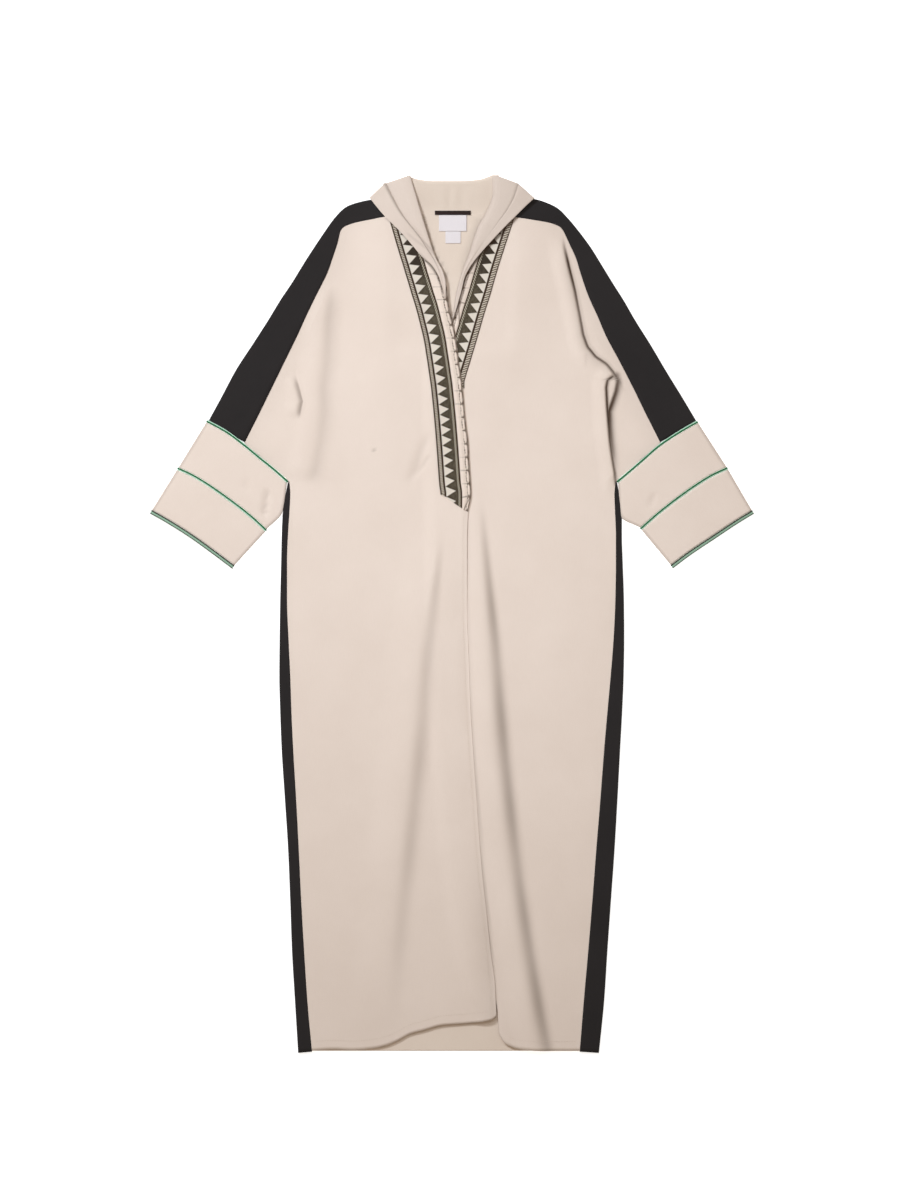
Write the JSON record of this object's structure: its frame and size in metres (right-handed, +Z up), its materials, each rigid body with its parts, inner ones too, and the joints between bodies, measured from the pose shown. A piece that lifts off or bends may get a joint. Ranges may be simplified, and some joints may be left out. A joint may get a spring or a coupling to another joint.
{
  "type": "hooded abaya robe, laid flat",
  "caption": "Long open-front hooded abaya laid flat, with batwing sleeves, banded cuffs, woven geometric trim and contrast side panels.",
  "frame": {"origin": "middle of the laid-out garment's outline, on the surface that it lies on", "axes": "+Z up off the surface, +Y towards the hood, +X to the viewer's right"},
  "size_m": [1.0204, 1.486, 0.0228],
  "materials": {
    "cream_crepe": "matt warm cream crepe, fine weave",
    "black_crepe": "matt soft black crepe",
    "woven_trim": "woven band, dark olive and cream triangles between dotted braids",
    "stitched_edge": "cream edge band with dark hand stitches",
    "green_piping": "satin piping, dark emerald beside mint",
    "black_tape": "black woven tape",
    "white_label": "white satin, blank"
  },
  "bodies": {
    "root": {"back": "cream_crepe", "front_underlap": "cream_crepe", "front_overlap": "cream_crepe", "trim_overlap": "woven_trim", "edge_band_overlap": "stitched_edge", "trim_underlap": "woven_trim", "edge_band_underlap": "stitched_edge", "shoulder_strip_left": "black_crepe", "side_panel_left": "black_crepe", "cuff_upper_left": "cream_crepe", "cuff_lower_left": "cream_crepe", "piping_top_left": "green_piping", "piping_middle_left": "green_piping", "piping_hem_left": "green_piping", "shoulder_strip_right": "black_crepe", "side_panel_right": "black_crepe", "cuff_upper_right": "cream_crepe", "cuff_lower_right": "cream_crepe", "piping_top_right": "green_piping", "piping_middle_right": "green_piping", "piping_hem_right": "green_piping", "hood_fall": "cream_crepe", "neck_stand": "cream_crepe", "hood_turn_left": "cream_crepe", "hood_turn_right": "cream_crepe", "neck_tape": "black_tape", "neck_label": "white_label", "size_tab": "white_label"}
  },
  "joints": []
}
